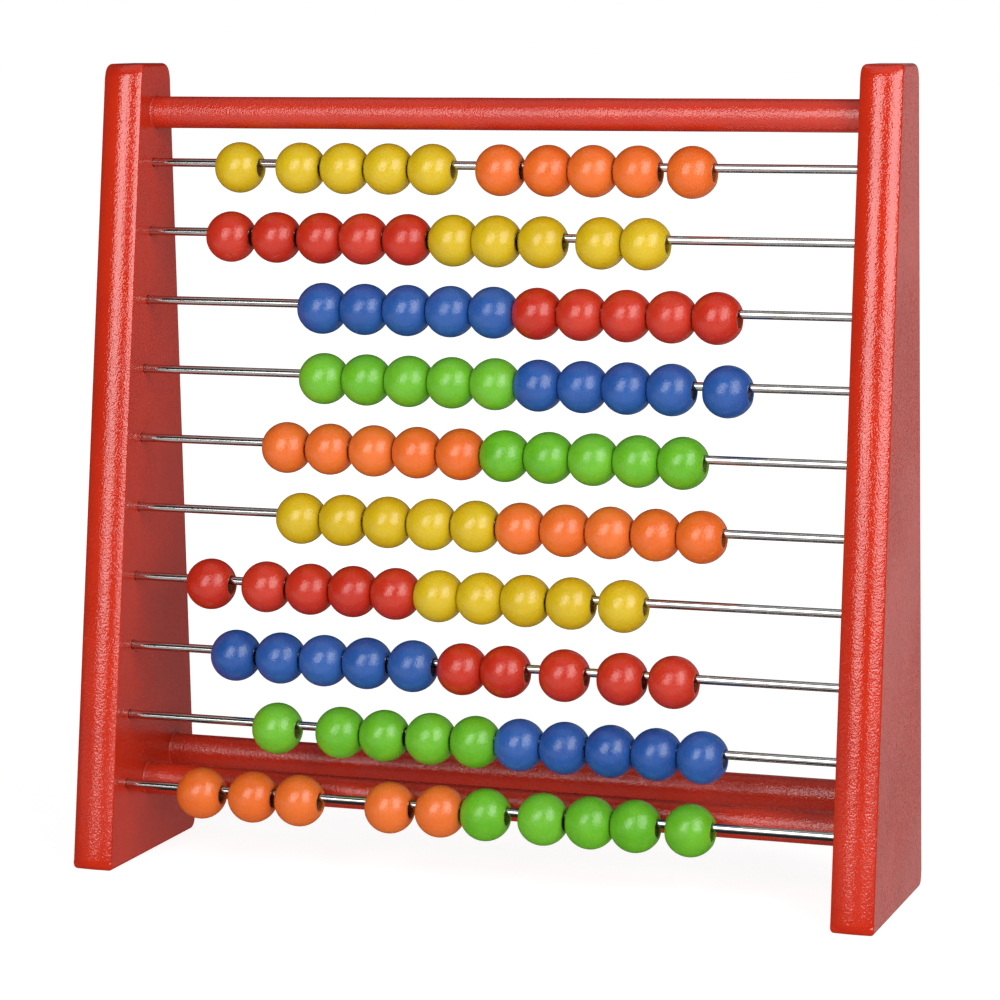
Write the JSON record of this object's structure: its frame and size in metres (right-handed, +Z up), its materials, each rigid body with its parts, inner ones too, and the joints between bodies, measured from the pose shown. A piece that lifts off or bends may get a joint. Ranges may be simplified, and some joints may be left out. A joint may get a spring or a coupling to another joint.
{
  "type": "abacus",
  "caption": "Free-standing counting frame with sloping lacquered side boards, round rails and polished rods that carry sliding coloured wooden beads.",
  "frame": {"origin": "on the standing surface, midway between the outer faces of the two side boards and midway between the front and the rear of their feet", "axes": "+X along the rods towards the right-hand board as the user sees it, +Y to the back, +Z up"},
  "size_m": [0.306, 0.081, 0.2996],
  "materials": {
    "red_lacquer": "gloss lacquer over solid wood",
    "polished_steel": "polished",
    "yellow_bead": "gloss paint over turned wood",
    "orange_bead": "gloss paint over turned wood",
    "red_bead": "gloss paint over turned wood",
    "blue_bead": "gloss paint over turned wood",
    "green_bead": "gloss paint over turned wood"
  },
  "bodies": {
    "frame": {"left_side_board": "red_lacquer", "right_side_board": "red_lacquer", "top_rail": "red_lacquer", "front_bottom_rail": "red_lacquer", "rear_bottom_rail": "red_lacquer", "rod_row_01": "polished_steel", "rod_row_02": "polished_steel", "rod_row_03": "polished_steel", "rod_row_04": "polished_steel", "rod_row_05": "polished_steel", "rod_row_06": "polished_steel", "rod_row_07": "polished_steel", "rod_row_08": "polished_steel", "rod_row_09": "polished_steel", "rod_row_10": "polished_steel"},
    "yellow_bead_r01_1": {"yellow_bead_r01_1": "yellow_bead"},
    "yellow_beads_r01_2to5": {"yellow_beads_r01_2to5": "yellow_bead"},
    "orange_bead_r01_6": {"orange_bead_r01_6": "orange_bead"},
    "orange_beads_r01_7to9": {"orange_beads_r01_7to9": "orange_bead"},
    "orange_bead_r01_10": {"orange_bead_r01_10": "orange_bead"},
    "red_bead_r02_1": {"red_bead_r02_1": "red_bead"},
    "red_bead_r02_2": {"red_bead_r02_2": "red_bead"},
    "red_beads_r02_3to5": {"red_beads_r02_3to5": "red_bead"},
    "yellow_beads_r02_6to7": {"yellow_beads_r02_6to7": "yellow_bead"},
    "yellow_bead_r02_8": {"yellow_bead_r02_8": "yellow_bead"},
    "yellow_beads_r02_9to10": {"yellow_beads_r02_9to10": "yellow_bead"},
    "blue_beads_r03_1to5": {"blue_beads_r03_1to5": "blue_bead"},
    "red_beads_r03_6to10": {"red_beads_r03_6to10": "red_bead"},
    "green_beads_r04_1to5": {"green_beads_r04_1to5": "green_bead"},
    "blue_beads_r04_6to9": {"blue_beads_r04_6to9": "blue_bead"},
    "blue_bead_r04_10": {"blue_bead_r04_10": "blue_bead"},
    "orange_beads_r05_1to5": {"orange_beads_r05_1to5": "orange_bead"},
    "green_beads_r05_6to10": {"green_beads_r05_6to10": "green_bead"},
    "yellow_beads_r06_1to5": {"yellow_beads_r06_1to5": "yellow_bead"},
    "orange_beads_r06_6to10": {"orange_beads_r06_6to10": "orange_bead"},
    "red_bead_r07_1": {"red_bead_r07_1": "red_bead"},
    "red_beads_r07_2to5": {"red_beads_r07_2to5": "red_bead"},
    "yellow_beads_r07_6to8": {"yellow_beads_r07_6to8": "yellow_bead"},
    "yellow_bead_r07_9": {"yellow_bead_r07_9": "yellow_bead"},
    "yellow_bead_r07_10": {"yellow_bead_r07_10": "yellow_bead"},
    "blue_bead_r08_1": {"blue_bead_r08_1": "blue_bead"},
    "blue_beads_r08_2to4": {"blue_beads_r08_2to4": "blue_bead"},
    "blue_bead_r08_5": {"blue_bead_r08_5": "blue_bead"},
    "red_beads_r08_6to7": {"red_beads_r08_6to7": "red_bead"},
    "red_bead_r08_8": {"red_bead_r08_8": "red_bead"},
    "red_bead_r08_9": {"red_bead_r08_9": "red_bead"},
    "red_bead_r08_10": {"red_bead_r08_10": "red_bead"},
    "green_bead_r09_1": {"green_bead_r09_1": "green_bead"},
    "green_beads_r09_2to3": {"green_beads_r09_2to3": "green_bead"},
    "green_beads_r09_4to5": {"green_beads_r09_4to5": "green_bead"},
    "blue_beads_r09_6to10": {"blue_beads_r09_6to10": "blue_bead"},
    "orange_bead_r10_1": {"orange_bead_r10_1": "orange_bead"},
    "orange_bead_r10_2": {"orange_bead_r10_2": "orange_bead"},
    "orange_bead_r10_3": {"orange_bead_r10_3": "orange_bead"},
    "orange_bead_r10_4": {"orange_bead_r10_4": "orange_bead"},
    "orange_bead_r10_5": {"orange_bead_r10_5": "orange_bead"},
    "green_bead_r10_6": {"green_bead_r10_6": "green_bead"},
    "green_beads_r10_7to9": {"green_beads_r10_7to9": "green_bead"},
    "green_bead_r10_10": {"green_bead_r10_10": "green_bead"}
  },
  "joints": [
    {"name": "slide_yellow_bead_r01_1", "type": "slide", "parent": "frame", "child": "yellow_bead_r01_1", "axis": [1, 0, 0], "range_m": [-0.0271, 0.00775]},
    {"name": "slide_yellow_beads_r01_2to5", "type": "slide", "parent": "frame", "child": "yellow_beads_r01_2to5", "axis": [1, 0, 0], "range_m": [-0.00775, 0.00975]},
    {"name": "slide_orange_bead_r01_6", "type": "slide", "parent": "frame", "child": "orange_bead_r01_6", "axis": [1, 0, 0], "range_m": [-0.00975, 0.00165]},
    {"name": "slide_orange_beads_r01_7to9", "type": "slide", "parent": "frame", "child": "orange_beads_r01_7to9", "axis": [1, 0, 0], "range_m": [-0.00165, 0.00355]},
    {"name": "slide_orange_bead_r01_10", "type": "slide", "parent": "frame", "child": "orange_bead_r01_10", "axis": [1, 0, 0], "range_m": [-0.00355, 0.0549]},
    {"name": "slide_red_bead_r02_1", "type": "slide", "parent": "frame", "child": "red_bead_r02_1", "axis": [1, 0, 0], "range_m": [-0.0247, 0.00165]},
    {"name": "slide_red_bead_r02_2", "type": "slide", "parent": "frame", "child": "red_bead_r02_2", "axis": [1, 0, 0], "range_m": [-0.00165, 0.00125]},
    {"name": "slide_red_beads_r02_3to5", "type": "slide", "parent": "frame", "child": "red_beads_r02_3to5", "axis": [1, 0, 0], "range_m": [-0.00125, 0.00125]},
    {"name": "slide_yellow_beads_r02_6to7", "type": "slide", "parent": "frame", "child": "yellow_beads_r02_6to7", "axis": [1, 0, 0], "range_m": [-0.00125, 0.0012]},
    {"name": "slide_yellow_bead_r02_8", "type": "slide", "parent": "frame", "child": "yellow_bead_r02_8", "axis": [1, 0, 0], "range_m": [-0.0012, 0.00525]},
    {"name": "slide_yellow_beads_r02_9to10", "type": "slide", "parent": "frame", "child": "yellow_beads_r02_9to10", "axis": [1, 0, 0], "range_m": [-0.00525, 0.0713]},
    {"name": "slide_blue_beads_r03_1to5", "type": "slide", "parent": "frame", "child": "blue_beads_r03_1to5", "axis": [1, 0, 0], "range_m": [-0.06275, 0]},
    {"name": "slide_red_beads_r03_6to10", "type": "slide", "parent": "frame", "child": "red_beads_r03_6to10", "axis": [1, 0, 0], "range_m": [0, 0.04355]},
    {"name": "slide_green_beads_r04_1to5", "type": "slide", "parent": "frame", "child": "green_beads_r04_1to5", "axis": [1, 0, 0], "range_m": [-0.0646, 0]},
    {"name": "slide_blue_beads_r04_6to9", "type": "slide", "parent": "frame", "child": "blue_beads_r04_6to9", "axis": [1, 0, 0], "range_m": [0, 0.00405]},
    {"name": "slide_blue_bead_r04_10", "type": "slide", "parent": "frame", "child": "blue_bead_r04_10", "axis": [1, 0, 0], "range_m": [-0.00405, 0.0386]},
    {"name": "slide_orange_beads_r05_1to5", "type": "slide", "parent": "frame", "child": "orange_beads_r05_1to5", "axis": [1, 0, 0], "range_m": [-0.0509, 0]},
    {"name": "slide_green_beads_r05_6to10", "type": "slide", "parent": "frame", "child": "green_beads_r05_6to10", "axis": [1, 0, 0], "range_m": [0, 0.05415]},
    {"name": "slide_yellow_beads_r06_1to5", "type": "slide", "parent": "frame", "child": "yellow_beads_r06_1to5", "axis": [1, 0, 0], "range_m": [-0.0578, 0.00055]},
    {"name": "slide_orange_beads_r06_6to10", "type": "slide", "parent": "frame", "child": "orange_beads_r06_6to10", "axis": [1, 0, 0], "range_m": [-0.00055, 0.04615]},
    {"name": "slide_red_bead_r07_1", "type": "slide", "parent": "frame", "child": "red_bead_r07_1", "axis": [1, 0, 0], "range_m": [-0.0226, 0.00565]},
    {"name": "slide_red_beads_r07_2to5", "type": "slide", "parent": "frame", "child": "red_beads_r07_2to5", "axis": [1, 0, 0], "range_m": [-0.00565, 0]},
    {"name": "slide_yellow_beads_r07_6to8", "type": "slide", "parent": "frame", "child": "yellow_beads_r07_6to8", "axis": [1, 0, 0], "range_m": [0, 0.00065]},
    {"name": "slide_yellow_bead_r07_9", "type": "slide", "parent": "frame", "child": "yellow_bead_r07_9", "axis": [1, 0, 0], "range_m": [-0.00065, 0.00305]},
    {"name": "slide_yellow_bead_r07_10", "type": "slide", "parent": "frame", "child": "yellow_bead_r07_10", "axis": [1, 0, 0], "range_m": [-0.00305, 0.0742]},
    {"name": "slide_blue_bead_r08_1", "type": "slide", "parent": "frame", "child": "blue_bead_r08_1", "axis": [1, 0, 0], "range_m": [-0.0339, 0.00125]},
    {"name": "slide_blue_beads_r08_2to4", "type": "slide", "parent": "frame", "child": "blue_beads_r08_2to4", "axis": [1, 0, 0], "range_m": [-0.00125, 0.00125]},
    {"name": "slide_blue_bead_r08_5", "type": "slide", "parent": "frame", "child": "blue_bead_r08_5", "axis": [1, 0, 0], "range_m": [-0.00125, 0.00245]},
    {"name": "slide_red_beads_r08_6to7", "type": "slide", "parent": "frame", "child": "red_beads_r08_6to7", "axis": [1, 0, 0], "range_m": [-0.00245, 0.0057]},
    {"name": "slide_red_bead_r08_8", "type": "slide", "parent": "frame", "child": "red_bead_r08_8", "axis": [1, 0, 0], "range_m": [-0.0057, 0.00505]},
    {"name": "slide_red_bead_r08_9", "type": "slide", "parent": "frame", "child": "red_bead_r08_9", "axis": [1, 0, 0], "range_m": [-0.00505, 0.00255]},
    {"name": "slide_red_bead_r08_10", "type": "slide", "parent": "frame", "child": "red_bead_r08_10", "axis": [1, 0, 0], "range_m": [-0.00255, 0.0544]},
    {"name": "slide_green_bead_r09_1", "type": "slide", "parent": "frame", "child": "green_bead_r09_1", "axis": [1, 0, 0], "range_m": [-0.0518, 0.00855]},
    {"name": "slide_green_beads_r09_2to3", "type": "slide", "parent": "frame", "child": "green_beads_r09_2to3", "axis": [1, 0, 0], "range_m": [-0.00855, 0.00135]},
    {"name": "slide_green_beads_r09_4to5", "type": "slide", "parent": "frame", "child": "green_beads_r09_4to5", "axis": [1, 0, 0], "range_m": [-0.00135, 0]},
    {"name": "slide_blue_beads_r09_6to10", "type": "slide", "parent": "frame", "child": "blue_beads_r09_6to10", "axis": [1, 0, 0], "range_m": [0, 0.0428]},
    {"name": "slide_orange_bead_r10_1", "type": "slide", "parent": "frame", "child": "orange_bead_r10_1", "axis": [1, 0, 0], "range_m": [-0.0224, 0.00395]},
    {"name": "slide_orange_bead_r10_2", "type": "slide", "parent": "frame", "child": "orange_bead_r10_2", "axis": [1, 0, 0], "range_m": [-0.00395, 0.00195]},
    {"name": "slide_orange_bead_r10_3", "type": "slide", "parent": "frame", "child": "orange_bead_r10_3", "axis": [1, 0, 0], "range_m": [-0.00195, 0.01905]},
    {"name": "slide_orange_bead_r10_4", "type": "slide", "parent": "frame", "child": "orange_bead_r10_4", "axis": [1, 0, 0], "range_m": [-0.01905, 0.00295]},
    {"name": "slide_orange_bead_r10_5", "type": "slide", "parent": "frame", "child": "orange_bead_r10_5", "axis": [1, 0, 0], "range_m": [-0.00295, 0.00075]},
    {"name": "slide_green_bead_r10_6", "type": "slide", "parent": "frame", "child": "green_bead_r10_6", "axis": [1, 0, 0], "range_m": [-0.00075, 0.00525]},
    {"name": "slide_green_beads_r10_7to9", "type": "slide", "parent": "frame", "child": "green_beads_r10_7to9", "axis": [1, 0, 0], "range_m": [-0.00525, 0.0036]},
    {"name": "slide_green_bead_r10_10", "type": "slide", "parent": "frame", "child": "green_bead_r10_10", "axis": [1, 0, 0], "range_m": [-0.0036, 0.0462]}
  ]
}
